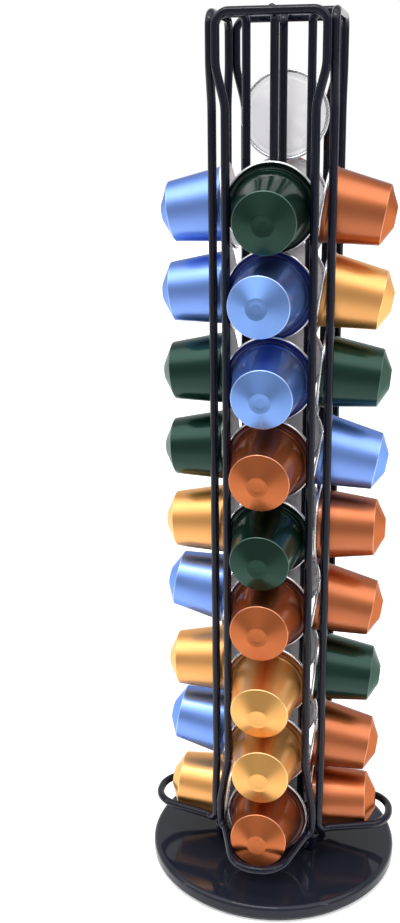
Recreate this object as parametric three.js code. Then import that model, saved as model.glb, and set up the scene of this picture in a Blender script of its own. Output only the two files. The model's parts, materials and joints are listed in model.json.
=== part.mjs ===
// A turning wire tower that stores coffee capsules in four columns on a round base.
// Millimetres, +Z up. The origin is on the table, under the middle of the base.
// The front column faces -Y, the right one +X, the rear one +Y and the left one -X.
import * as THREE from 'three';

// Capsule: a foil lid, a rolled flange, a tapered cup and a coned nose with a dimple
const flangeRadius = 18.55;
const flangeThickness = 1.4;
const rootRadius = 15.5;
const shoulderRadius = 12.4;
const shoulderDepth = 25.2;
const noseRadius = 4.8;
const capsuleDepth = 29.4;
const dimpleDepth = 0.7;

// Stacks: each flange tucks behind or before the next one, so the pitch is less than a flange
const frontCount = 9;
const rearCount = 10;
const stackClearance = 0.45;
const cornerClearance = 0.45;

// Wire and the room that it leaves
const wireRadius = 1.75;
const bodyClearance = 0.25;
const loadClearance = 0.9;
const railRoom = 1.75;
const rodRoom = 4.15;
const seatGap = 0.3;

// Bends, measured at the middle of the wire
const topBend = 5.3;
const pinchBend = 22;
const rootBend = 3.8;
const kneeBend = 5;
const rodBend = 4;
const armBend = 5;

// Heights of the wide and narrow stretches of the rails
const topRoom = 17.7;
const wideTop = 19.7;
const pinchLength = 14;
const wideBottom = 8.5;
const flareLength = 21;

// Tray that each column's wire ends in
const trayHeight = 17.4;
const cradleRise = 4.6;
const shoulderLift = 1.1;
const kneeOut = 4.1;
const kneeIn = 3.0;
const noseRoom = 6.5;
const trayEndBend = 12.5;

// Base: a pressed steel dish on a rubber ring
const baseRadius = 57.5;
const baseWall = 1.6;
const rubberThickness = 1.3;
const rubberWidth = 6.5;
const rubberInset = 2;
const rimHeight = 6.5;
const lipWidth = 8;
const crownRadius = 2.2;
const lipRadius = 1.5;
const dishClearance = 0.2;

// Pivot: a bolt through the dish, a slide washer and the hub plate
const hubRadius = 15.5;
const hubThickness = 2;
const boltRadius = 3;
const boltHeadRadius = 6.5;
const boltHeadHeight = 3;
const boltDome = 1;
const pivotClearance = 0.2;
const slideRadius = 12;
const slideThickness = 1.7;
const springRadius = 7;
const springThickness = 1.2;
const nutFlats = 10;
const nutHeight = 3;
const boltEnd = 0.3;
const armStart = 8;
const barLift = 0.8;

// Nose-down tilt and sideways turn of each capsule, in degrees, from the top one down
const tilts = {
  front: [8, 1.5, 6, 6, 7, -0.5, 7, -0.5, -6],
  right: [10, 10, 6, 10.5, 0.5, 9.5, 5.5, 8.5, -2.5],
  rear: [8.5, 6, 8, 5, 9, 7, 4, 8, 0.5, -6],
  left: [8, 5, 5, 4.5, 3.5, -9.5, 3.5, -9.5, -5.5],
};
const turns = {
  front: [1.5, -3, 0, -2, -1.5, -1.5, -1, 0, -1.5],
  right: [0, 0, 1, 0, -1, 0, 1, 0, 0],
  rear: [1, 0, 0, -1, 0, 1, 0, 0, 1, 0],
  left: [0, 1, 0, -1, 0, 0, 1, 0, 0],
};
const colours = {
  front: ['green', 'blue', 'blue', 'copper', 'green', 'copper', 'gold', 'gold', 'copper'],
  right: ['copper', 'gold', 'green', 'blue', 'copper', 'copper', 'green', 'copper', 'copper'],
  rear: ['gold', 'copper', 'blue', 'green', 'copper', 'gold', 'blue', 'copper', 'green', 'gold'],
  left: ['blue', 'blue', 'green', 'green', 'gold', 'blue', 'gold', 'blue', 'gold'],
};

// Places worked out from the sizes above
const lidDistance = flangeRadius + cornerClearance;
const railDistance = lidDistance + flangeThickness + railRoom + wireRadius;
const rodDistance = lidDistance - rodRoom - wireRadius;
const narrowHalf = rootRadius + bodyClearance + wireRadius;
const wideHalf = flangeRadius + loadClearance + wireRadius;
const pitch = flangeRadius + rootRadius + stackClearance;

const lipUnderside = rubberThickness + dishClearance;
const baseTop = lipUnderside + rimHeight;
const dishCeiling = baseTop - baseWall;
const slideBottom = baseTop + pivotClearance;
const hubBottom = slideBottom + slideThickness + pivotClearance;
const hubTop = hubBottom + hubThickness;
const wireRest = hubTop + seatGap;
const trayLevel = baseTop + trayHeight;
const bottomAxis = trayLevel + cradleRise;
const barLevel = bottomAxis + (rearCount - 1) * pitch + flangeRadius + topRoom + wireRadius;
const wideStart = barLevel - wideTop;
const narrowStart = wideStart - pinchLength;
const wideEnd = bottomAxis + wideBottom;
const narrowEnd = wideEnd + flareLength;

const kneeDistance = railDistance + kneeOut;
const kneeHalf = wideHalf - kneeIn;
const shoulderDistance = lidDistance + shoulderDepth;
const shoulderHalf = Math.sqrt((shoulderRadius + wireRadius + seatGap) ** 2 - (cradleRise + shoulderLift) ** 2);
const trayReach = lidDistance + capsuleDepth + noseRoom;
const armTaper = (kneeHalf - shoulderHalf) / (shoulderDistance - kneeDistance);
const trayEndHalf = shoulderHalf - (trayReach - shoulderDistance) * armTaper;

const bore = boltRadius + pivotClearance;
const springBottom = dishCeiling - pivotClearance - springThickness;
const nutBottom = springBottom - pivotClearance - nutHeight;
const ringOuter = baseRadius - rubberInset;

// Facets of round pieces, and steps in tight and in gentle bends
const capsuleSides = 18;
const wireSides = 8;
const dishSides = 48;
const hubSides = 32;
const washerSides = 24;
const hexSides = 6;
const tightSteps = 4;
const gentleSteps = 2;
const trayEndSteps = 5;

const degrees = Math.PI / 180;
const roundingSlack = 1e-6;

// Finishes
const paint = new THREE.MeshStandardMaterial({ color: 0x14151a, roughness: 0.22, metalness: 0.1 });
const rubber = new THREE.MeshStandardMaterial({ color: 0x1a1a1a, roughness: 0.9, metalness: 0 });
const zinc = new THREE.MeshStandardMaterial({ color: 0xb8bcc0, roughness: 0.35, metalness: 0.9 });
const nylon = new THREE.MeshStandardMaterial({ color: 0xe6e4dc, roughness: 0.5, metalness: 0 });
const anodised = (color) => new THREE.MeshStandardMaterial({ color, roughness: 0.35, metalness: 0.7 });
const capsuleFinish = {
  blue: anodised(0x5b86d6),
  green: anodised(0x1f4638),
  copper: anodised(0xb9663a),
  gold: anodised(0xd69a45),
};

// A solid of revolution about Z from [radius, height] points
function revolved(points, sides) {
  const profile = points.map(([r, z]) => new THREE.Vector2(r, z));
  return new THREE.LatheGeometry(profile, sides).rotateX(Math.PI / 2);
}

// The points of a quarter round in a profile, anticlockwise from its first angle
function quarterRound(centre, radius, fromAngle) {
  return Array.from({ length: tightSteps + 1 }, (_, i) => {
    const angle = fromAngle + (Math.PI / 2) * (i / tightSteps);
    return [centre[0] + radius * Math.cos(angle), centre[1] + radius * Math.sin(angle)];
  });
}

// A regular polygon with its corners on a circle
function polygon(count, radius) {
  const points = Array.from({ length: count }, (_, i) => {
    const angle = (2 * Math.PI * i) / count;
    return new THREE.Vector2(radius * Math.cos(angle), radius * Math.sin(angle));
  });
  return new THREE.Shape(points);
}

// A bent wire's middle line: it passes exactly through the stations of its bends
class BentLine extends THREE.Curve {
  constructor(stations) {
    super();
    this.stations = stations;
  }

  getPoint(t, target = new THREE.Vector3()) {
    const last = this.stations.length - 1;
    const place = Math.min(Math.max(t, 0), 1) * last;
    const index = Math.min(Math.floor(place + roundingSlack), last - 1);
    return target.lerpVectors(this.stations[index].point, this.stations[index + 1].point, place - index);
  }

  getPointAt(u, target) {
    return this.getPoint(u, target);
  }

  getTangentAt(u, target = new THREE.Vector3()) {
    const index = Math.round(Math.min(Math.max(u, 0), 1) * (this.stations.length - 1));
    return target.copy(this.stations[index].tangent);
  }
}

// Stations along a line of corners: [corner, bend radius, steps in the bend]
function bendStations(corners, closed) {
  const stations = [];
  const count = corners.length;
  corners.forEach(([corner, radius, steps], i) => {
    const before = corners[(i + count - 1) % count][0];
    const after = corners[(i + 1) % count][0];
    const isEnd = !closed && (i === 0 || i === count - 1);
    if (isEnd) {
      const tangent = (i === 0 ? after.clone().sub(corner) : corner.clone().sub(before)).normalize();
      stations.push({ point: corner.clone(), tangent });
      return;
    }
    const arriving = corner.clone().sub(before).normalize();
    const leaving = after.clone().sub(corner).normalize();
    const swing = arriving.angleTo(leaving);
    const side = leaving.clone().addScaledVector(arriving, -leaving.dot(arriving)).normalize();
    const start = corner.clone().addScaledVector(arriving, -radius * Math.tan(swing / 2));
    const centre = start.clone().addScaledVector(side, radius);
    for (let step = 0; step <= steps; step += 1) {
      const angle = (swing * step) / steps;
      const point = centre.clone()
        .addScaledVector(side, -radius * Math.cos(angle))
        .addScaledVector(arriving, radius * Math.sin(angle));
      const tangent = arriving.clone().multiplyScalar(Math.cos(angle)).addScaledVector(side, Math.sin(angle));
      stations.push({ point, tangent });
    }
  });
  if (closed) stations.push(stations[0]);
  return stations;
}

// A wire with cut ends
function openWire(corners) {
  const stations = bendStations(corners, false);
  return new THREE.ExtrudeGeometry(polygon(wireSides, wireRadius), {
    steps: stations.length - 1,
    extrudePath: new BentLine(stations),
  });
}

// A wire whose two ends are welded together
function closedWire(corners) {
  const stations = bendStations(corners, true);
  return new THREE.TubeGeometry(new BentLine(stations), stations.length - 1, wireRadius, wireSides, true);
}

const at = (x, y, z) => new THREE.Vector3(x, y, z);

// One column's front wire: a top bar, two pinched rails and the tray, bent from one length
function columnWire() {
  const half = [
    [at(railDistance, -wideHalf, barLevel), topBend, tightSteps],
    [at(railDistance, -wideHalf, wideStart), pinchBend, gentleSteps],
    [at(railDistance, -narrowHalf, narrowStart), pinchBend, gentleSteps],
    [at(railDistance, -narrowHalf, narrowEnd), pinchBend, gentleSteps],
    [at(railDistance, -wideHalf, wideEnd), pinchBend, gentleSteps],
    [at(railDistance, -wideHalf, trayLevel), rootBend, tightSteps],
    [at(kneeDistance, -kneeHalf, trayLevel), kneeBend, gentleSteps],
    [at(trayReach, -trayEndHalf, trayLevel), trayEndBend, trayEndSteps],
  ];
  const mirrored = half.map(([p, bend, steps]) => [at(p.x, -p.y, p.z), bend, steps]).reverse();
  return closedWire([...half, ...mirrored]);
}

// The rod behind a column's lids, from the hub plate up and out to the top bar
function backRod() {
  const rodTop = barLevel + barLift;
  return openWire([
    [at(rodDistance, 0, wireRest)],
    [at(rodDistance, 0, rodTop), rodBend, tightSteps],
    [at(railDistance - wireRadius - seatGap, 0, rodTop)],
  ]);
}

// The arm under two neighbouring tray roots, from the hub plate out and up
function cornerArm() {
  const armReach = (railDistance + wideHalf) / Math.SQRT2;
  return openWire([
    [at(armStart, 0, wireRest + wireRadius)],
    [at(armReach, 0, wireRest + wireRadius), armBend, tightSteps],
    [at(armReach, 0, trayLevel - wireRadius - seatGap)],
  ]);
}

// A capsule lying along +X, with the middle of its lid at the origin
function capsule() {
  const points = [
    [0, 0],
    [flangeRadius, 0],
    [flangeRadius, flangeThickness],
    [rootRadius, flangeThickness],
    [shoulderRadius, shoulderDepth],
    [noseRadius, capsuleDepth],
    [0, capsuleDepth - dimpleDepth],
  ];
  return revolved(points, capsuleSides).rotateY(Math.PI / 2);
}

// The dish: a flat top with a rounded shoulder, a rim and a lip turned in under it
function basePlate() {
  const crown = [baseRadius - crownRadius, baseTop - crownRadius];
  const foot = [baseRadius - lipRadius, lipUnderside + lipRadius];
  const innerSide = baseRadius - baseWall;
  return revolved([
    [bore, dishCeiling],
    [innerSide - crownRadius, dishCeiling],
    [innerSide, dishCeiling - crownRadius],
    [innerSide, lipUnderside + baseWall],
    [baseRadius - lipWidth, lipUnderside + baseWall],
    [baseRadius - lipWidth, lipUnderside],
    ...quarterRound(foot, lipRadius, -Math.PI / 2),
    ...quarterRound(crown, crownRadius, 0),
    [bore, baseTop],
    [bore, dishCeiling],
  ], dishSides);
}

// A flat ring or washer
function ring(innerRadius, outerRadius, bottom, thickness, sides) {
  return revolved([
    [innerRadius, bottom],
    [outerRadius, bottom],
    [outerRadius, bottom + thickness],
    [innerRadius, bottom + thickness],
    [innerRadius, bottom],
  ], sides);
}

// The pivot bolt: its head holds the hub plate down, its shank passes through the dish
function pivotBolt() {
  const headBottom = hubTop + pivotClearance;
  const headTop = headBottom + boltHeadHeight;
  return revolved([
    [0, nutBottom - boltEnd],
    [boltRadius, nutBottom - boltEnd],
    [boltRadius, headBottom],
    [boltHeadRadius, headBottom],
    [boltHeadRadius, headTop - boltDome],
    [boltHeadRadius - boltDome, headTop],
    [0, headTop],
  ], washerSides);
}

function lockNut() {
  const outline = polygon(hexSides, nutFlats / 2 / Math.cos(Math.PI / hexSides));
  outline.holes.push(polygon(washerSides, bore));
  const nut = new THREE.ExtrudeGeometry(outline, { depth: nutHeight, bevelEnabled: false });
  return nut.translate(0, 0, nutBottom);
}

const stand = new THREE.Group();

function addPiece(parent, name, geometry, material) {
  const mesh = new THREE.Mesh(geometry, material);
  mesh.name = name;
  parent.add(mesh);
  return mesh;
}

// Base and pivot
const rubberRing = ring(ringOuter - rubberWidth, ringOuter, 0, rubberThickness, dishSides);
const slideWasher = ring(bore, slideRadius, slideBottom, slideThickness, washerSides);
const hubPlate = ring(bore, hubRadius, hubBottom, hubThickness, hubSides);
const springWasher = ring(bore, springRadius, springBottom, springThickness, washerSides);
addPiece(stand, 'base_plate', basePlate(), paint);
addPiece(stand, 'rubber_ring', rubberRing, rubber);
addPiece(stand, 'slide_washer', slideWasher, nylon);
addPiece(stand, 'hub_plate', hubPlate, paint);
addPiece(stand, 'pivot_bolt', pivotBolt(), zinc);
addPiece(stand, 'spring_washer', springWasher, zinc);
addPiece(stand, 'lock_nut', lockNut(), zinc);

// Four columns, each turned to its own side
const sides = { right: 0, rear: 90, left: 180, front: 270 };
const quarters = ['rear_right', 'rear_left', 'front_left', 'front_right'];
const wireGeometry = columnWire();
const rodGeometry = backRod();
const armGeometry = cornerArm();
const capsuleGeometry = capsule();

Object.entries(sides).forEach(([side, turn], i) => {
  const column = new THREE.Group();
  column.rotation.z = turn * degrees;
  stand.add(column);
  addPiece(column, `column_wire_${side}`, wireGeometry, paint);
  addPiece(column, `back_rod_${side}`, rodGeometry, paint);
  addPiece(column, `corner_arm_${quarters[i]}`, armGeometry, paint).rotation.z = 45 * degrees;

  const count = side === 'rear' ? rearCount : frontCount;
  for (let n = 0; n < count; n += 1) {
    const finish = capsuleFinish[colours[side][n]];
    const piece = addPiece(column, `capsule_${side}_${n + 1}`, capsuleGeometry, finish);
    piece.position.set(lidDistance, 0, bottomAxis + (count - 1 - n) * pitch);
    piece.rotation.set(0, tilts[side][n] * degrees, turns[side][n] * degrees, 'ZYX');
  }
});

export default stand;
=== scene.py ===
# The looks of a turning wire tower of coffee capsules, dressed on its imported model.
# Metres, +Z up. The tower stands on the floor at the origin, and its front column faces -Y.
import json
import math
import random

import bmesh
import bpy
from mathutils import Matrix, Vector, noise


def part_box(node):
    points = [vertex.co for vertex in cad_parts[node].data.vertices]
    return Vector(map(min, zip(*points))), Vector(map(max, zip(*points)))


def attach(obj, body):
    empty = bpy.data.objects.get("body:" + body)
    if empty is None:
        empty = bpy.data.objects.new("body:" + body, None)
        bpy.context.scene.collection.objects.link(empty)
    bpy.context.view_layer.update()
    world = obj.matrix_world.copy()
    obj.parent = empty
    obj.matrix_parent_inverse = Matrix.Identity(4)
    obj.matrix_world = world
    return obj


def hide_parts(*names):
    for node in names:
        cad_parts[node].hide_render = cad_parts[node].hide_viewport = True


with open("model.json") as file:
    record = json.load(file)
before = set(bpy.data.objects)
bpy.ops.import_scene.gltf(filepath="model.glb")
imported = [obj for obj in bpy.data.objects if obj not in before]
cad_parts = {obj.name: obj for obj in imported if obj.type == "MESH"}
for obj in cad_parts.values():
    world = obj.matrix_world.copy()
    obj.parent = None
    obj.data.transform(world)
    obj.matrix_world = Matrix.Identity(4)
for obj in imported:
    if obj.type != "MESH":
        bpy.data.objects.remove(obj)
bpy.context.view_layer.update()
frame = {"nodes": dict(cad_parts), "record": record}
random.seed(7)

MM = 0.001


def mm(*sizes):
    """Sizes given in millimetres, in metres."""
    return tuple(size * MM for size in sizes)


# The camera: where it stands, how it is turned and how long its lens is.
# The picture's longer side, its height, spans the sensor.
CAMERA_PLACE = Vector((65.4, -482.7, 349.3)) * MM
CAMERA_TURN = math.radians(11.62)
CAMERA_DROOP = math.radians(17.52)
CAMERA_ROLL = math.radians(0.71)
FOCAL_PIXELS = 1166
IMAGE_HEIGHT = 923
SENSOR = 36

# The room's light. Its walls whiten towards the back, along Y, and fade towards the ceiling, along Z.
# The softbox is an oval round one direction, high in front.
ROOM_DIM = 0.5
ROOM_WHITE = 1.02
WHITE_START = 0.05
WHITE_FULL = 0.45
FADE_START = 0.5
FADE_FULL = 0.85
FADED_SHARE = 0.65
SOFTBOX_HEIGHT = math.radians(73)
SOFTBOX_STRETCH = 0.5
SOFTBOX_EDGE = 0.77
SOFTBOX_CORE = 0.96
SOFTBOX_GLOW = 2.3

# Strip lamps: place, width, height and power in watts. All face one point in the tower.
LAMP_TARGET = (0, 0, 0.2)
LAMPS = {
    "key_light": ((-0.15, -0.45, 1.2), 0.6, 0.05, 3.8),
    "left_light": ((-0.9, -0.3, 0.35), 0.03, 0.7, 0.5),
    "right_light": ((0.8, -0.6, 0.35), 0.03, 0.7, 0.5),
}

# The floor: along Y it darkens towards the camera, a painted shade that stands for the dim room in
# front, and it glows from just before the base backwards
FLOOR_RADIUS = 4
FLOOR_SIDES = 96
FLOOR_SHADED = 0.42
FLOOR_PALE = 0.86
SHADED_PLACE = -0.8
PALE_PLACE = -0.1
FLOOR_GLOW = 0.35
GLOW_START = -0.13
GLOW_FULL = -0.08

# Meshes: what counts as one point or as on the axis, where an edge stays sharp, how near the ends of
# a long stretch its extra points lie, and how long a stretch has to be to get them
MERGE_DISTANCE = 1e-7
AXIS_DISTANCE = 1e-9
SHARP_EDGE = math.radians(38)
SHARP_NUT_EDGE = math.radians(25)
GUARD = 0.25 * MM
GUARDED_STRETCH = 6 * GUARD

# Wire and its bends
WIRE = 1.75 * MM
WIRE_SIDES = 20
WIRE_END_EASE = 0.25 * WIRE
BEND_STEP = math.radians(6)
TOP_BEND = 5.3 * MM
PINCH_BEND = 22 * MM
ROOT_BEND = 3.8 * MM
KNEE_BEND = 5 * MM
TRAY_BEND = 12.5 * MM
ROD_BEND = 4 * MM
ARM_BEND = 5 * MM

# The column wire's route, where its box doesn't say it, and where an arm starts on the hub plate
NARROW_HALF = 17.5 * MM
NARROW_BELOW_BAR = 33.7 * MM
WIDE_BELOW_BAR = 19.7 * MM
WIDE_OVER_TRAY = 13.1 * MM
NARROW_OVER_TRAY = 34.1 * MM
KNEE_OUT = 4.1 * MM
KNEE_IN = 3.0 * MM
TRAY_END_HALF = 10.03 * MM
ARM_START_SHARE = 0.52

# Capsule, in section: (radius, distance from the lid), with a bend radius at each corner of the cup
CAPSULE_SIDES = 72
LID_LINE = [mm(0, 0.50), mm(4, 0.46), mm(8, 0.40), mm(12, 0.34), mm(14.6, 0.32)]
CRIMP_LINE = [mm(15.3, 0.42), mm(15.9, 0.44), mm(16.4, 0.30)]
CURL_START = mm(17.0, 0.30)
CURL_MIDDLE = mm(17.9, 0.66)
CURL_RADIUS = 0.65 * MM
FLANGE_CORNERS = [mm(17.0, 0.95, 0), mm(15.6, 0.95, 0.4)]
CUP_CORNERS = [mm(15.5, 2.7, 0.5), mm(15.2, 3.4, 0.5), mm(12.4, 25.2, 0.55)]
NOSE_CORNERS = [mm(4.3, 29.4, 0.4), mm(3.0, 29.28, 0.5), mm(2.0, 29.1, 0.4), mm(0, 29.06, 0)]
# The curl's two shares, the bare one and the dyed one that carries the flange face's painted shade:
# first and last angle in degrees, and steps
BARE_CURL = (-146, 76, 12)
SHADED_CURL = (84, 140, 4)
# Where along the capsule its dyed parts meet
CUP_START = 1.3 * MM
SHOULDER_START = 24.5 * MM
SHOULDER_END = 25.8 * MM
# The lid's crinkle: how deep it is, how many waves go to a metre, how far out it goes, how sharply it
# fades there, and how far down a point is still the lid's
CRINKLE_DEPTH = 0.16 * MM
CRINKLE_WAVES = 260
CRINKLE_REACH = 15 * MM
CRINKLE_FADE = 4
LID_BAND = 0.6 * MM
# A face of a packed capsule belongs to its lid where it looks this squarely at the tower's middle
LID_FACING = -0.9

# Base dish: its wall, the rounds of its shoulder and lower edge, the cut of its inner corner, how far
# its foot turns in, and how that foot is eased
DISH_SIDES = 192
DISH_WALL = 1.6 * MM
DISH_SHOULDER = 2.2 * MM
DISH_EDGE = 1.5 * MM
DISH_CORNER = 0.6 * MM
DISH_FOOT = 8 * MM
DISH_EASE = 0.2 * MM
CORNER_STEPS = 8
SHOULDER_STEPS = 14

# Pivot and rubber ring. The nut's corners are cut where they pass a share of its half width.
TURNED_SIDES = 96
RING_SIDES = 160
RING_BORE = 49 * MM
RING_EASE = 0.3 * MM
PIVOT_BORE = 3.2 * MM
BORE_EASE = 0.3 * MM
WASHER_EASE = 0.2 * MM
HUB_EASE = 0.4 * MM
NUT_CUT_SHARE = 1.02
NUT_CUT_SLOPE = math.radians(30)

# Pivot bolt: its shank, the room under its head, and the dome and the socket of its head
SHANK = 3.0 * MM
HEAD_ROOM = 0.2 * MM
BOLT_EASE = 0.5 * MM
BOLT_EDGE_STEPS = 3
DOME_START = math.radians(8)
DOME_END = math.radians(70)
DOME_STEPS = 8
DOME_FULLNESS = 0.8
SOCKET_HALF = 2.3 * MM
SOCKET_DEPTH = 1.9 * MM
SOCKET_EASE = 0.15 * MM
SOCKET_WALL_SHARE = 0.96

# Weld beads: half sizes along X, Y and Z, and where each lies from the rod, arm or plate beside it
BAR_BEAD = mm(1.3, 2.1, 1.2)
BAR_BEAD_OUT = 0.2 * MM
BAR_BEAD_DOWN = 1.7 * MM
ROD_BEAD = mm(2.4, 2.4, 0.9)
ROD_BEAD_UP = 0.35 * MM
TRAY_BEAD = mm(1.7, 2.5, 1.1)
TRAY_BEAD_DOWN = 0.1 * MM
HUB_BEAD = mm(3.2, 2.2, 0.9)
HUB_BEAD_REACH = 11 * MM
HUB_BEAD_UP = 0.5 * MM
BEAD_LUMPS = 0.12
BEAD_WAVES = 1.7
BEAD_SHIFT = 3.7

SIDES = {"right": 0, "rear": 90, "left": 180, "front": 270}
QUARTERS = {"rear_right": 45, "rear_left": 135, "front_left": 225, "front_right": 315}


# Node building


def new_socket(tree, name, kind, value=None, output=False):
    made = tree.interface.new_socket(name=name, in_out="OUTPUT" if output else "INPUT", socket_type=kind)
    if value is not None:
        made.default_value = value


def add(tree, kind, **settings):
    node = tree.nodes.new(kind)
    for name, value in settings.items():
        setattr(node, name, value)
    return node


def set_inputs(node, values):
    for name, value in values.items():
        node.inputs[name].default_value = value


def ramp(tree, start, end, first, last, **settings):
    """A number that runs from first to last as its input runs from start to end."""
    node = add(tree, "ShaderNodeMapRange", **settings)
    set_inputs(node, {"From Min": start, "From Max": end, "To Min": first, "To Max": last})
    return node


def fine_grain_group():
    """Fine unevenness of a skin: a height for a bump, and a mask of broad soft patches."""
    tree = bpy.data.node_groups.new("fine_grain", "ShaderNodeTree")
    new_socket(tree, "Grain Scale", "NodeSocketFloat", 1000)
    new_socket(tree, "Patch Scale", "NodeSocketFloat", 60)
    new_socket(tree, "Height", "NodeSocketFloat", output=True)
    new_socket(tree, "Patches", "NodeSocketFloat", output=True)
    inward = add(tree, "NodeGroupInput")
    outward = add(tree, "NodeGroupOutput")
    place = add(tree, "ShaderNodeTexCoord")
    grain = add(tree, "ShaderNodeTexNoise")
    set_inputs(grain, {"Detail": 2, "Roughness": 0.5})
    patches = add(tree, "ShaderNodeTexNoise")
    set_inputs(patches, {"Detail": 3, "Roughness": 0.55})
    link = tree.links.new
    link(place.outputs["Object"], grain.inputs["Vector"])
    link(place.outputs["Object"], patches.inputs["Vector"])
    link(inward.outputs["Grain Scale"], grain.inputs["Scale"])
    link(inward.outputs["Patch Scale"], patches.inputs["Scale"])
    link(grain.outputs["Fac"], outward.inputs["Height"])
    link(patches.outputs["Fac"], outward.inputs["Patches"])
    return tree


def value_between_group():
    """A number that runs from one value to another as a mask runs from its low to its high."""
    tree = bpy.data.node_groups.new("value_between", "ShaderNodeTree")
    new_socket(tree, "Mask", "NodeSocketFloat", 0.5)
    new_socket(tree, "Low", "NodeSocketFloat", 0.3)
    new_socket(tree, "High", "NodeSocketFloat", 0.7)
    new_socket(tree, "At Low", "NodeSocketFloat", 0)
    new_socket(tree, "At High", "NodeSocketFloat", 1)
    new_socket(tree, "Value", "NodeSocketFloat", output=True)
    inward = add(tree, "NodeGroupInput")
    outward = add(tree, "NodeGroupOutput")
    spread = add(tree, "ShaderNodeMapRange")
    link = tree.links.new
    link(inward.outputs["Mask"], spread.inputs["Value"])
    link(inward.outputs["Low"], spread.inputs["From Min"])
    link(inward.outputs["High"], spread.inputs["From Max"])
    link(inward.outputs["At Low"], spread.inputs["To Min"])
    link(inward.outputs["At High"], spread.inputs["To Max"])
    link(spread.outputs["Result"], outward.inputs["Value"])
    return tree


def colour_drift_group():
    """A colour that drifts to a second one in patches."""
    tree = bpy.data.node_groups.new("colour_drift", "ShaderNodeTree")
    new_socket(tree, "Colour", "NodeSocketColor", (0.5, 0.5, 0.5, 1))
    new_socket(tree, "Second Colour", "NodeSocketColor", (0.4, 0.4, 0.4, 1))
    new_socket(tree, "Patches", "NodeSocketFloat", 0.5)
    new_socket(tree, "Colour", "NodeSocketColor", output=True)
    inward = add(tree, "NodeGroupInput")
    outward = add(tree, "NodeGroupOutput")
    blend = add(tree, "ShaderNodeMix", data_type="RGBA")
    link = tree.links.new
    link(inward.outputs["Patches"], blend.inputs["Factor"])
    link(inward.outputs["Colour"], blend.inputs["A"])
    link(inward.outputs["Second Colour"], blend.inputs["B"])
    link(blend.outputs["Result"], outward.inputs["Colour"])
    return tree


fine_grain = fine_grain_group()
value_between = value_between_group()
colour_drift = colour_drift_group()


# Materials

# What a finish's colour is multiplied by, in its patches
PAINT_DRIFT = 1.4
DYE_DRIFT = 0.93


def surface(name, colour, second, rough_low, rough_high, grain, patch, bump, bump_depth, shader_values):
    """A material with its own grain, patches of colour and roughness, and plain values on the shader."""
    material = bpy.data.materials.new(name)
    material.use_nodes = True
    tree = material.node_tree
    shader = tree.nodes["Principled BSDF"]
    set_inputs(shader, shader_values)
    link = tree.links.new
    skin = add(tree, "ShaderNodeGroup", node_tree=fine_grain)
    set_inputs(skin, {"Grain Scale": grain, "Patch Scale": patch})
    roughness = add(tree, "ShaderNodeGroup", node_tree=value_between)
    set_inputs(roughness, {"At Low": rough_low, "At High": rough_high})
    link(skin.outputs["Patches"], roughness.inputs["Mask"])
    link(roughness.outputs["Value"], shader.inputs["Roughness"])
    drift = add(tree, "ShaderNodeGroup", node_tree=colour_drift)
    set_inputs(drift, {"Colour": (*colour, 1), "Second Colour": (*second, 1)})
    link(skin.outputs["Patches"], drift.inputs["Patches"])
    link(drift.outputs["Colour"], shader.inputs["Base Color"])
    relief = add(tree, "ShaderNodeBump")
    set_inputs(relief, {"Strength": bump, "Distance": bump_depth})
    link(skin.outputs["Height"], relief.inputs["Height"])
    link(relief.outputs["Normal"], shader.inputs["Normal"])
    return material


def black_paint(name, colour, bump, rough_low, rough_high, gloss):
    """Baked black enamel. gloss is the index that sets how much it mirrors."""
    paler = [PAINT_DRIFT * c for c in colour]
    return surface(
        name, colour, paler, rough_low, rough_high,
        grain=900, patch=90, bump=bump, bump_depth=0.05 * MM, shader_values={"IOR": gloss},
    )


def dyed(name, colour, slant, rough_low, rough_high, lacquer):
    """Dyed aluminium. slant is its tint seen at a slant, and lacquer the weight of its clear coat."""
    darker = [DYE_DRIFT * c for c in colour]
    return surface(
        name, colour, darker, rough_low, rough_high,
        grain=1400, patch=70, bump=0.04, bump_depth=0.02 * MM,
        shader_values={
            "Metallic": 1.0, "Specular Tint": (*slant, 1), "Coat Weight": lacquer, "Coat Roughness": 0.11,
        },
    )


wire_paint = black_paint(
    "wire_paint", (0.0036, 0.0042, 0.0105), bump=0.10, rough_low=0.05, rough_high=0.10, gloss=1.32,
)
base_paint = black_paint(
    "base_paint", (0.0094, 0.0110, 0.0175), bump=0.03, rough_low=0.05, rough_high=0.10, gloss=1.31,
)
# A capsule's colours: its cup, its nose, the pressed face of its flange and the shoulder round the
# nose. The flange face carries painted shade and the shoulder a painted highlight.
CUP_FINISH = {"rough_low": 0.36, "rough_high": 0.43, "lacquer": 0.45}
NOSE_FINISH = {"rough_low": 0.29, "rough_high": 0.35, "lacquer": 0.15}
SHOULDER_FINISH = {"rough_low": 0.30, "rough_high": 0.36, "lacquer": 0.15}
# The blue and copper cups take a darker tint at a slant than their noses: partly the dye's own tint,
# partly painted shade on the walls of the front capsules, deep in the tower.
cup_paints = {
    "blue_aluminium": dyed("blue_aluminium", (0.175, 0.308, 0.735), (0.10, 0.17, 0.38), **CUP_FINISH),
    "green_aluminium": dyed("green_aluminium", (0.008, 0.036, 0.026), (0.60, 0.70, 0.65), **CUP_FINISH),
    "copper_aluminium": dyed("copper_aluminium", (0.44, 0.125, 0.043), (0.20, 0.20, 0.25), **CUP_FINISH),
    "gold_aluminium": dyed("gold_aluminium", (0.75, 0.362, 0.111), (1.0, 0.8, 0.6), **CUP_FINISH),
}
nose_paints = {
    "blue_aluminium": dyed("blue_nose", (0.160, 0.295, 0.645), (0.42, 0.52, 0.80), **NOSE_FINISH),
    "green_aluminium": dyed("green_nose", (0.016, 0.043, 0.031), (0.60, 0.70, 0.65), **NOSE_FINISH),
    "copper_aluminium": dyed("copper_nose", (0.43, 0.118, 0.037), (0.62, 0.46, 0.40), **NOSE_FINISH),
    "gold_aluminium": dyed("gold_nose", (0.72, 0.375, 0.112), (1.0, 0.8, 0.6), **NOSE_FINISH),
}
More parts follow.
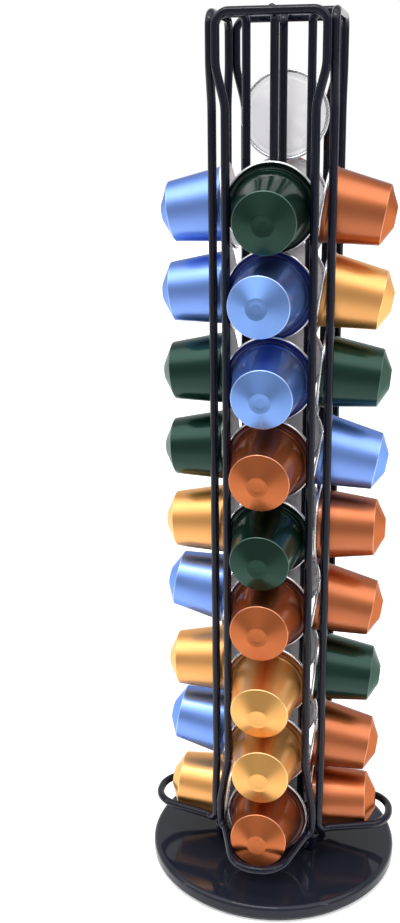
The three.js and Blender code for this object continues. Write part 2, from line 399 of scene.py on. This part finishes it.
# Flange faces: dark copies of the dyes, painted shade on the ring between the rolled rim and the cup.
flange_shade_paints = {
    "blue_aluminium": dyed("blue_flange_shade", (0.022, 0.030, 0.14), (0.1, 0.2, 0.7), **CUP_FINISH),
    "green_aluminium": dyed("green_flange_shade", (0.006, 0.018, 0.012), (0.1, 0.3, 0.2), **CUP_FINISH),
    "copper_aluminium": dyed("copper_flange_shade", (0.10, 0.035, 0.030), (0.4, 0.2, 0.15), **CUP_FINISH),
    "gold_aluminium": dyed("gold_flange_shade", (0.24, 0.10, 0.040), (0.8, 0.4, 0.2), **CUP_FINISH),
}
# Shoulders: light copies of the dyes, a painted highlight along the bend round the nose.
shoulder_highlight_paints = {
    "blue_aluminium": dyed("blue_shoulder_highlight", (0.38, 0.52, 0.88), (0.5, 0.6, 0.85), **SHOULDER_FINISH),
    "green_aluminium": dyed("green_shoulder_highlight", (0.07, 0.12, 0.10), (0.7, 0.8, 0.75), **SHOULDER_FINISH),
    "copper_aluminium": dyed("copper_shoulder_highlight", (0.62, 0.25, 0.14), (0.7, 0.5, 0.4), **SHOULDER_FINISH),
    "gold_aluminium": dyed("gold_shoulder_highlight", (0.86, 0.56, 0.25), (1.0, 0.85, 0.65), **SHOULDER_FINISH),
}
bare_rim = surface(
    "bare_aluminium_rim", (0.86, 0.86, 0.88), (0.80, 0.80, 0.83), rough_low=0.20, rough_high=0.32,
    grain=2600, patch=120, bump=0.1, bump_depth=0.02 * MM, shader_values={"Metallic": 1.0},
)
lid_foil = surface(
    "lid_foil", (0.97, 0.955, 0.975), (0.90, 0.885, 0.91), rough_low=0.36, rough_high=0.52,
    grain=420, patch=50, bump=0.5, bump_depth=0.12 * MM, shader_values={"Metallic": 0.3},
)
black_rubber = surface(
    "black_rubber", (0.022, 0.022, 0.023), (0.03, 0.03, 0.03), rough_low=0.62, rough_high=0.8,
    grain=1800, patch=60, bump=0.4, bump_depth=0.06 * MM, shader_values={"IOR": 1.45},
)
white_nylon = surface(
    "white_nylon", (0.78, 0.76, 0.70), (0.72, 0.70, 0.64), rough_low=0.38, rough_high=0.5,
    grain=900, patch=80, bump=0.15, bump_depth=0.04 * MM, shader_values={"IOR": 1.53},
)
zinc = surface(
    "zinc_plate", (0.62, 0.64, 0.66), (0.50, 0.52, 0.54), rough_low=0.24, rough_high=0.42,
    grain=1500, patch=220, bump=0.2, bump_depth=0.03 * MM, shader_values={"Metallic": 1.0},
)


# Mesh building


def finish_mesh(name, bm, materials, sharp=SHARP_EDGE):
    """A smooth shaded mesh from a bmesh, with its edges kept sharp past an angle."""
    bmesh.ops.remove_doubles(bm, verts=bm.verts, dist=MERGE_DISTANCE)
    bmesh.ops.recalc_face_normals(bm, faces=bm.faces)
    mesh = bpy.data.meshes.new(name)
    bm.to_mesh(mesh)
    bm.free()
    for material in materials:
        mesh.materials.append(material)
    mesh.polygons.foreach_set("use_smooth", [True] * len(mesh.polygons))
    mesh.set_sharp_from_angle(angle=sharp)
    return mesh


def show(name, mesh, body, slot, *nodes, place=Matrix.Identity(4)):
    """Puts a piece in the scene, riding on a body and standing for its CAD nodes."""
    piece = bpy.data.objects.new(name, mesh)
    bpy.context.scene.collection.objects.link(piece)
    piece.matrix_world = place
    if nodes:
        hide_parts(*nodes)
    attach(piece, body)


def arc(centre, radius, start, end, steps):
    """Points on an arc of a profile, angles in degrees from the radius direction."""
    angles = [math.radians(start + (end - start) * i / steps) for i in range(steps + 1)]
    return [(centre[0] + radius * math.cos(a), centre[1] + radius * math.sin(a)) for a in angles]


def guarded(profile):
    """Adds points near both ends of each long straight stretch, so that its shading stays even."""
    points = [profile[0]]
    for before, after in zip(profile, profile[1:]):
        stretch = math.dist(before[:2], after[:2])
        if stretch > GUARDED_STRETCH:
            for share in (GUARD / stretch, 1 - GUARD / stretch):
                place = [b + (a - b) * share for b, a in zip(before[:2], after[:2])]
                points.append((*place, *before[2:]))
        points.append(after)
    return points


def round_turns(sides):
    """The angles of the points of a ring."""
    return [math.tau * i / sides for i in range(sides)]


def ring_of(bm, reaches, heights):
    """A ring of points about Z, each at its own reach and height."""
    ring = []
    for turn, reach, height in zip(round_turns(len(reaches)), reaches, heights):
        ring.append(bm.verts.new((reach * math.cos(turn), reach * math.sin(turn), height)))
    return ring


def join(bm, low, high, stripe=0):
    """Faces between two rings, or between a ring and a single point."""
    sides = max(len(low), len(high))
    for i in range(sides):
        j = (i + 1) % sides
        if len(low) == 1:
            corners = [low[0], high[j], high[i]]
        elif len(high) == 1:
            corners = [low[i], low[j], high[0]]
        else:
            corners = [low[i], low[j], high[j], high[i]]
        bm.faces.new(corners).material_index = stripe


def revolve(bm, profile, sides, closed=False):
    """Turns a profile about Z. Each point is (radius, height) or (radius, height, material)."""
    rings = []
    for radius, height, *_ in profile:
        if radius < AXIS_DISTANCE:
            rings.append([bm.verts.new((0, 0, height))])
        else:
            rings.append(ring_of(bm, [radius] * sides, [height] * sides))
    pairs = list(zip(rings, rings[1:]))
    if closed:
        pairs.append((rings[-1], rings[0]))
    stripes = [point[2] if len(point) > 2 else 0 for point in profile]
    for (low, high), stripe in zip(pairs, stripes):
        join(bm, low, high, stripe)


def bent_line(corners, closed):
    """Points along a line of corners [(corner, bend radius)], with a true arc at each bend."""
    line = []
    count = len(corners)
    for i, (corner, radius) in enumerate(corners):
        if not closed and i in (0, count - 1):
            line.append(corner.copy())
            continue
        arriving = (corner - corners[i - 1][0]).normalized()
        leaving = (corners[(i + 1) % count][0] - corner).normalized()
        swing = arriving.angle(leaving)
        side = (leaving - arriving * leaving.dot(arriving)).normalized()
        start = corner - arriving * radius * math.tan(swing / 2)
        centre = start + side * radius
        steps = max(2, math.ceil(swing / BEND_STEP))
        for step in range(steps + 1):
            angle = swing * step / steps
            line.append(centre - side * radius * math.cos(angle) + arriving * radius * math.sin(angle))
    return line


def line_tangents(line, closed):
    """The direction of a line at each of its points."""
    count = len(line)
    tangents = []
    for i in range(count):
        before = line[i - 1] if closed or i > 0 else line[i]
        after = line[(i + 1) % count] if closed or i < count - 1 else line[i]
        arriving = (line[i] - before).normalized() if before is not line[i] else None
        leaving = (after - line[i]).normalized() if after is not line[i] else None
        tangents.append(((arriving or leaving) + (leaving or arriving)).normalized())
    return tangents


def wire_stations(line, closed):
    """Where a wire's rings go: (middle, its two directions, radius, turn), with its cut ends eased."""
    tangents = line_tangents(line, closed)
    across = tangents[0].orthogonal().normalized()
    frames = []
    for tangent in tangents:
        across = (across - tangent * across.dot(tangent)).normalized()
        frames.append((across, tangent.cross(across)))
    twist = 0
    if closed:
        back = frames[-1][0] - tangents[0] * frames[-1][0].dot(tangents[0])
        twist = math.atan2(back.dot(frames[0][1]), back.dot(frames[0][0]))
    stations = [(line[i], frames[i], WIRE, twist * i / len(line)) for i in range(len(line))]
    if not closed:
        inner_first = (line[0] + tangents[0] * WIRE_END_EASE, frames[0], WIRE, 0)
        inner_last = (line[-1] - tangents[-1] * WIRE_END_EASE, frames[-1], WIRE, 0)
        stations[0] = (line[0], frames[0], WIRE - WIRE_END_EASE, 0)
        stations[-1] = (line[-1], frames[-1], WIRE - WIRE_END_EASE, 0)
        stations.insert(1, inner_first)
        stations.insert(-1, inner_last)
    return stations


def sweep(bm, line, closed):
    """A round wire along a line, a loop or with two cut ends."""
    rings = []
    for middle, (right, ahead), radius, turn in wire_stations(line, closed):
        ring = []
        for angle in round_turns(WIRE_SIDES):
            outward = right * math.cos(angle - turn) + ahead * math.sin(angle - turn)
            ring.append(bm.verts.new(middle + radius * outward))
        rings.append(ring)
    pairs = list(zip(rings, rings[1:]))
    if closed:
        pairs.append((rings[-1], rings[0]))
    for low, high in pairs:
        join(bm, low, high)
    if not closed:
        bm.faces.new(list(reversed(rings[0])))
        bm.faces.new(rings[-1])


# Wires


def column_wire_line():
    """The middle of one column's wire, for the column that faces +X."""
    low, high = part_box("column_wire_right")
    rail = low.x + WIRE
    half = high.y - WIRE
    bar = high.z - WIRE
    tray = low.z + WIRE
    reach = high.x - WIRE
    side = [
        (Vector((rail, -half, bar)), TOP_BEND),
        (Vector((rail, -half, bar - WIDE_BELOW_BAR)), PINCH_BEND),
        (Vector((rail, -NARROW_HALF, bar - NARROW_BELOW_BAR)), PINCH_BEND),
        (Vector((rail, -NARROW_HALF, tray + NARROW_OVER_TRAY)), PINCH_BEND),
        (Vector((rail, -half, tray + WIDE_OVER_TRAY)), PINCH_BEND),
        (Vector((rail, -half, tray)), ROOT_BEND),
        (Vector((rail + KNEE_OUT, KNEE_IN - half, tray)), KNEE_BEND),
        (Vector((reach, -TRAY_END_HALF, tray)), TRAY_BEND),
    ]
    mirror = [(Vector((p.x, -p.y, p.z)), bend) for p, bend in reversed(side)]
    return bent_line(side + mirror, True)


def back_rod_line():
    """The middle of one back rod, bent out at its top to the bar of the column that faces +X."""
    low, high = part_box("back_rod_right")
    rod = low.x + WIRE
    return bent_line([
        (Vector((rod, 0, low.z)), 0),
        (Vector((rod, 0, high.z - WIRE)), ROD_BEND),
        (Vector((high.x, 0, high.z - WIRE)), 0),
    ], False)


def corner_arm_line():
    """The middle of one arm, laid along +X."""
    low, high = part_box("corner_arm_rear_right")
    foot = low.z + WIRE
    start = ARM_START_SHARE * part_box("hub_plate")[1].x
    reach = math.hypot(high.x, high.y) - 2 * WIRE
    return bent_line([
        (Vector((start, 0, foot)), 0),
        (Vector((reach, 0, foot)), ARM_BEND),
        (Vector((reach, 0, high.z)), 0),
    ], False)


def wire_mesh(name, line, closed, degrees):
    """A painted wire along a line, turned about Z to its place."""
    bm = bmesh.new()
    sweep(bm, line, closed)
    mesh = finish_mesh(name, bm, [wire_paint])
    mesh.transform(Matrix.Rotation(math.radians(degrees), 4, "Z"))
    return mesh


for side, turn in SIDES.items():
    wire = wire_mesh("wire_" + side, column_wire_line(), True, turn)
    show("fine_column_wire_" + side, wire, "carousel", "black_paint", "column_wire_" + side)
    rod = wire_mesh("rod_" + side, back_rod_line(), False, turn)
    show("fine_back_rod_" + side, rod, "carousel", "black_paint", "back_rod_" + side)
for quarter, turn in QUARTERS.items():
    arm = wire_mesh("arm_" + quarter, corner_arm_line(), False, turn)
    show("fine_corner_arm_" + quarter, arm, "carousel", "black_paint", "corner_arm_" + quarter)


# Capsules

# Stripes of a capsule: the flange face's stripe carries painted shade, the shoulder's a painted
# highlight.
FOIL, RIM, SHADED_FLANGE, CUP, SHOULDER, NOSE = range(6)


def capsule_profile():
    """From the middle of the lid out over the rolled rim and down the cup to its nose."""
    points = [(r, z, FOIL) for r, z in LID_LINE + CRIMP_LINE]
    points += [(r, z, RIM) for r, z in [CURL_START] + arc(CURL_MIDDLE, CURL_RADIUS, *BARE_CURL)]
    points += [(r, z, SHADED_FLANGE) for r, z in arc(CURL_MIDDLE, CURL_RADIUS, *SHADED_CURL)]
    corners = FLANGE_CORNERS + CUP_CORNERS + NOSE_CORNERS
    line = bent_line([(Vector((r, 0, z)), bend) for r, z, bend in corners], False)
    for point, onward in zip(line, line[1:] + line[-1:]):
        if point.z < CUP_START:
            stripe = SHADED_FLANGE
        elif point.z < SHOULDER_START:
            stripe = CUP
        elif onward.z < SHOULDER_END:
            stripe = SHOULDER
        else:
            stripe = NOSE
        points.append((point.x, point.z, stripe))
    return guarded(points)


def capsule_mesh(slot):
    """A capsule with its lid at the origin and its nose up. Its slot name's length picks a crinkle."""
    bm = bmesh.new()
    revolve(bm, capsule_profile(), CAPSULE_SIDES)
    shift = Vector((len(slot), 0, 0))
    for vert in bm.verts:
        reach = math.hypot(vert.co.x, vert.co.y)
        if vert.co.z < LID_BAND and reach < CRINKLE_REACH:
            share = 1 - (reach / CRINKLE_REACH) ** CRINKLE_FADE
            vert.co.z += share * CRINKLE_DEPTH * noise.noise(vert.co * CRINKLE_WAVES + shift)
    paints = [flange_shade_paints, cup_paints, shoulder_highlight_paints, nose_paints]
    return finish_mesh(slot, bm, [lid_foil, bare_rim] + [paint[slot] for paint in paints])


def lid_of(node):
    """The middle of a capsule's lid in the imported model, and the way its nose points."""
    low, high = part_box(node)
    middle = (low + high) / 2
    outward = Vector((middle.x, middle.y, 0)).normalized()
    lid = [face for face in frame["nodes"][node].data.polygons if face.normal.dot(outward) < LID_FACING]
    area = sum(face.area for face in lid)
    centre = sum((face.center * face.area for face in lid), Vector()) / area
    nose = -sum((face.normal * face.area for face in lid), Vector()).normalized()
    return centre, nose


def show_capsule(node, slot):
    """A capsule on its column's stack, turned at random about its own axis."""
    centre, nose = lid_of(node)
    facing = nose.to_track_quat("Z", "Y").to_matrix().to_4x4()
    spin = Matrix.Rotation(random.uniform(0, math.tau), 4, "Z")
    place = Matrix.Translation(centre) @ facing @ spin
    column = node.split("_")[1]
    show("fine_" + node, capsule_meshes[slot], column + "_stack", slot, node, place=place)


capsule_meshes = {slot: capsule_mesh(slot) for slot in cup_paints}
for entry in frame["record"]["subparts"]:
    if entry["node"].startswith("capsule_"):
        show_capsule(entry["node"], entry["material_slot"])


# Base and pivot


def turned_piece(node, profile, sides, material, body, slot):
    """A piece turned about Z from a closed profile."""
    bm = bmesh.new()
    revolve(bm, guarded(profile), sides, closed=True)
    show("fine_" + node, finish_mesh("fine_" + node, bm, [material]), body, slot, node)


def base_dish():
    """From the bore out under the top, down the wall, round the turned-in foot and back over the top."""
    low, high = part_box("base_plate")
    outer, top, foot = high.x, high.z, low.z
    inside = outer - DISH_WALL
    ceiling = top - DISH_WALL
    ledge = foot + DISH_WALL
    foot_end = outer - DISH_FOOT
    bend = (inside - DISH_SHOULDER, ceiling - DISH_SHOULDER)
    profile = [(PIVOT_BORE, ceiling)] + arc(bend, DISH_SHOULDER, 90, 0, CORNER_STEPS)
    profile += [
        (inside, ledge + DISH_CORNER), (inside - DISH_CORNER, ledge),
        (foot_end + DISH_EASE, ledge), (foot_end, ledge - DISH_EASE),
        (foot_end, foot + DISH_EASE), (foot_end + DISH_EASE, foot),
    ]
    profile += arc((outer - DISH_EDGE, foot + DISH_EDGE), DISH_EDGE, -90, 0, CORNER_STEPS)
    profile += arc((outer - DISH_SHOULDER, top - DISH_SHOULDER), DISH_SHOULDER, 0, 90, SHOULDER_STEPS)
    profile += [(PIVOT_BORE + BORE_EASE, top), (PIVOT_BORE, top - BORE_EASE)]
    turned_piece("base_plate", profile, DISH_SIDES, base_paint, "base", "black_paint")


def washer(node, material, body, slot, bore, ease, sides=TURNED_SIDES):
    """A flat ring that fills its box round a bore, with its edges eased."""
    low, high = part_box(node)
    outer, bottom, top = high.x, low.z, high.z
    profile = [
        (bore, bottom + ease), (bore + ease, bottom), (outer - ease, bottom), (outer, bottom + ease),
        (outer, top - ease), (outer - ease, top), (bore + ease, top), (bore, top - ease),
    ]
    turned_piece(node, profile, sides, material, body, slot)


def hexagon_reaches(half):
    """How far a hexagon reaches at each point of a turned ring. half is half its width across flats."""
    sixth = math.pi / 3
    return [half / math.cos((turn + sixth / 2) % sixth - sixth / 2) for turn in round_turns(TURNED_SIDES)]


def bolt_outline(low, high):
    """Half of the bolt's section, from the middle of its tip to the rim of its socket."""
    head = high.x
    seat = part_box("hub_plate")[1].z + HEAD_ROOM
    edge = seat + BOLT_EASE
    outline = [(0, low.z), (SHANK - BOLT_EASE, low.z), (SHANK, low.z + BOLT_EASE), (SHANK, seat)]
    outline += arc((head - BOLT_EASE, edge), BOLT_EASE, -90, 0, BOLT_EDGE_STEPS)
    for step in range(DOME_STEPS + 1):
        rise = DOME_START + (DOME_END - DOME_START) * step / DOME_STEPS
        height = edge + (high.z - edge) * math.sin(rise) / math.sin(DOME_END)
        outline.append((head * math.cos(rise) ** DOME_FULLNESS, height))
    return outline


def pivot_bolt():
    """A button-headed bolt with a hexagon socket."""
    low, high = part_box("pivot_bolt")
    bm = bmesh.new()
    revolve(bm, bolt_outline(low, high), TURNED_SIDES)
    bm.verts.ensure_lookup_table()
    rim = bm.verts[-TURNED_SIDES:]
    mouth = (high.z, SOCKET_HALF)
    wall_top = (high.z - SOCKET_EASE, SOCKET_HALF * SOCKET_WALL_SHARE)
    wall_foot = (high.z - SOCKET_DEPTH, SOCKET_HALF * SOCKET_WALL_SHARE)
    for height, half in (mouth, wall_top, wall_foot):
        ring = ring_of(bm, hexagon_reaches(half), [height] * TURNED_SIDES)
        join(bm, rim, ring)
        rim = ring
    bm.faces.new(rim)
    show("fine_pivot_bolt", finish_mesh("pivot_bolt", bm, [zinc]), "base", "zinc_steel", "pivot_bolt")


def lock_nut():
    """A hexagon nut with a plain hole, its corners cut to a slope at both ends."""
    low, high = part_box("lock_nut")
    cut = NUT_CUT_SHARE * high.y
    corners = hexagon_reaches(high.y)
    ends = [min(reach, cut) for reach in corners]
    drops = [max(0, reach - cut) * math.tan(NUT_CUT_SLOPE) for reach in corners]
    bore = [PIVOT_BORE] * TURNED_SIDES
    eased = [PIVOT_BORE + BORE_EASE] * TURNED_SIDES

    def level(height):
        return [height] * TURNED_SIDES

    bm = bmesh.new()
    rings = [
        ring_of(bm, bore, level(low.z + BORE_EASE)),
        ring_of(bm, eased, level(low.z)),
        ring_of(bm, ends, level(low.z)),
        ring_of(bm, corners, [low.z + drop for drop in drops]),
        ring_of(bm, corners, [high.z - drop for drop in drops]),
        ring_of(bm, ends, level(high.z)),
        ring_of(bm, eased, level(high.z)),
        ring_of(bm, bore, level(high.z - BORE_EASE)),
    ]
    for lower, upper in zip(rings, rings[1:] + rings[:1]):
        join(bm, lower, upper)
    mesh = finish_mesh("lock_nut", bm, [zinc], sharp=SHARP_NUT_EDGE)
    show("fine_lock_nut", mesh, "base", "zinc_steel", "lock_nut")


base_dish()
washer("rubber_ring", black_rubber, "base", "black_rubber", RING_BORE, RING_EASE, RING_SIDES)
washer("slide_washer", white_nylon, "base", "white_nylon", PIVOT_BORE, WASHER_EASE)
washer("hub_plate", wire_paint, "carousel", "black_paint", PIVOT_BORE, HUB_EASE)
washer("spring_washer", zinc, "base", "zinc_steel", PIVOT_BORE, WASHER_EASE)
pivot_bolt()
lock_nut()


# Weld beads under the paint


def bead_spots():
    """Each bead's turn about Z in degrees, its place before that turn, and its half sizes."""
    rod_low, rod_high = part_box("back_rod_right")
    arm_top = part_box("corner_arm_rear_right")[1].z
    hub_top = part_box("hub_plate")[1].z
    on_bar = Vector((rod_high.x + BAR_BEAD_OUT, 0, rod_high.z - BAR_BEAD_DOWN))
    at_rod_foot = Vector((rod_low.x + WIRE, 0, hub_top + ROD_BEAD_UP))
    under_tray = Vector((corner_arm_line()[-1].x, 0, arm_top - TRAY_BEAD_DOWN))
    on_hub = Vector((HUB_BEAD_REACH, 0, hub_top + HUB_BEAD_UP))
    spots = []
    for turn in SIDES.values():
        spots += [(turn, on_bar, BAR_BEAD), (turn, at_rod_foot, ROD_BEAD)]
    for turn in QUARTERS.values():
        spots += [(turn, under_tray, TRAY_BEAD), (turn, on_hub, HUB_BEAD)]
    return spots


def weld_bead(bm, place, sizes, turn, shift):
    """A small uneven lump of weld, added to bm. shift gives each bead its own lumps."""
    lump = bmesh.new()
    bmesh.ops.create_icosphere(lump, subdivisions=3, radius=1)
    for vert in lump.verts:
        swell = 1 + BEAD_LUMPS * noise.noise(vert.co * BEAD_WAVES + Vector((shift, 0, 0)))
        vert.co = place + Vector(part * size * swell for part, size in zip(vert.co, sizes))
    bmesh.ops.rotate(lump, verts=lump.verts, matrix=Matrix.Rotation(math.radians(turn), 3, "Z"))
    bead = bpy.data.meshes.new("bead")
    lump.to_mesh(bead)
    lump.free()
    bm.from_mesh(bead)
    bpy.data.meshes.remove(bead)


def weld_beads():
    bm = bmesh.new()
    for number, (turn, place, sizes) in enumerate(bead_spots()):
        weld_bead(bm, place, sizes, turn, number * BEAD_SHIFT)
    show("weld_beads", finish_mesh("weld_beads", bm, [wire_paint]), "carousel", "black_paint")


weld_beads()


# Floor, light and camera


def floor_paint():
    """Matt white, with painted shade towards the camera. Its glow shows only to the camera and in gloss
    and glass, and lights nothing.
    """
    material = bpy.data.materials.new("white_floor")
    material.use_nodes = True
    tree = material.node_tree
    shader = tree.nodes["Principled BSDF"]
    set_inputs(shader, {"Roughness": 0.9, "Specular IOR Level": 0.1, "Emission Color": (1, 1, 1, 1)})
    place = add(tree, "ShaderNodeTexCoord")
    parts = add(tree, "ShaderNodeSeparateXYZ")
    shade = ramp(tree, SHADED_PLACE, PALE_PLACE, FLOOR_SHADED, FLOOR_PALE)
    near = ramp(tree, GLOW_START, GLOW_FULL, 0, FLOOR_GLOW)
    path = add(tree, "ShaderNodeLightPath")
    seen = add(tree, "ShaderNodeMath", operation="ADD")
    either = add(tree, "ShaderNodeMath", operation="ADD")
    glow = add(tree, "ShaderNodeMath", operation="MULTIPLY")
    link = tree.links.new
    link(place.outputs["Object"], parts.inputs[0])
    link(parts.outputs["Y"], shade.inputs["Value"])
    link(parts.outputs["Y"], near.inputs["Value"])
    link(shade.outputs["Result"], shader.inputs["Base Color"])
    link(path.outputs["Is Camera Ray"], seen.inputs[0])
    link(path.outputs["Is Glossy Ray"], seen.inputs[1])
    link(seen.outputs[0], either.inputs[0])
    link(path.outputs["Is Transmission Ray"], either.inputs[1])
    link(either.outputs[0], glow.inputs[0])
    link(near.outputs["Result"], glow.inputs[1])
    link(glow.outputs[0], shader.inputs["Emission Strength"])
    return material


def floor():
    bm = bmesh.new()
    bmesh.ops.create_circle(bm, cap_ends=True, radius=FLOOR_RADIUS, segments=FLOOR_SIDES)
    mesh = bpy.data.meshes.new("floor")
    bm.to_mesh(mesh)
    bm.free()
    mesh.materials.append(floor_paint())
    ground = bpy.data.objects.new("floor", mesh)
    bpy.context.scene.collection.objects.link(ground)


def room():
    """A studio: a white sweep behind, dim sides and front, and a wide softbox high in front."""
    world = bpy.data.worlds.new("room")
    bpy.context.scene.world = world
    world.use_nodes = True
    tree = world.node_tree
    place = add(tree, "ShaderNodeTexCoord")
    parts = add(tree, "ShaderNodeSeparateXYZ")
    walls = ramp(tree, WHITE_START, WHITE_FULL, ROOM_DIM, ROOM_WHITE)
    height = ramp(tree, FADE_START, FADE_FULL, 1, FADED_SHARE)
    toward = add(tree, "ShaderNodeVectorMath", operation="DOT_PRODUCT")
    toward.inputs[1].default_value = (0, -math.cos(SOFTBOX_HEIGHT), math.sin(SOFTBOX_HEIGHT))
    sideways = add(tree, "ShaderNodeMath", operation="MULTIPLY")
    widened = add(tree, "ShaderNodeMath", operation="MULTIPLY_ADD")
    widened.inputs[1].default_value = SOFTBOX_STRETCH
    softbox = ramp(tree, SOFTBOX_EDGE, SOFTBOX_CORE, 0, SOFTBOX_GLOW, interpolation_type="SMOOTHSTEP")
    faded = add(tree, "ShaderNodeMath", operation="MULTIPLY")
    total = add(tree, "ShaderNodeMath", operation="ADD")
    link = tree.links.new
    link(place.outputs["Generated"], parts.inputs[0])
    link(parts.outputs["Y"], walls.inputs["Value"])
    link(parts.outputs["Z"], height.inputs["Value"])
    link(walls.outputs["Result"], faded.inputs[0])
    link(height.outputs["Result"], faded.inputs[1])
    link(place.outputs["Generated"], toward.inputs[0])
    link(parts.outputs["X"], sideways.inputs[0])
    link(parts.outputs["X"], sideways.inputs[1])
    link(sideways.outputs[0], widened.inputs[0])
    link(toward.outputs["Value"], widened.inputs[2])
    link(widened.outputs[0], softbox.inputs["Value"])
    link(faded.outputs[0], total.inputs[0])
    link(softbox.outputs["Result"], total.inputs[1])
    link(total.outputs[0], tree.nodes["Background"].inputs["Color"])


def strip_lamp(name, place, width, height, power):
    lamp = bpy.data.lights.new(name, "AREA")
    lamp.shape = "RECTANGLE"
    lamp.size = width
    lamp.size_y = height
    lamp.energy = power
    holder = bpy.data.objects.new(name, lamp)
    holder.location = place
    holder.rotation_mode = "QUATERNION"
    holder.rotation_quaternion = (Vector(LAMP_TARGET) - Vector(place)).to_track_quat("-Z", "Y")
    bpy.context.scene.collection.objects.link(holder)


def camera():
    data = bpy.data.cameras.new("camera")
    data.sensor_width = SENSOR
    data.lens = FOCAL_PIXELS * SENSOR / IMAGE_HEIGHT
    eye = bpy.data.objects.new("camera", data)
    level = Matrix.Rotation(math.radians(90) - CAMERA_DROOP, 4, "X")
    facing = Matrix.Rotation(CAMERA_TURN, 4, "Z")
    roll = Matrix.Rotation(-CAMERA_ROLL, 4, "Z")
    eye.matrix_world = Matrix.Translation(CAMERA_PLACE) @ facing @ level @ roll
    bpy.context.scene.collection.objects.link(eye)
    bpy.context.scene.camera = eye


floor()
room()
for name, (place, width, height, power) in LAMPS.items():
    strip_lamp(name, place, width, height, power)
camera()
bpy.context.scene.view_settings.view_transform = "Standard"
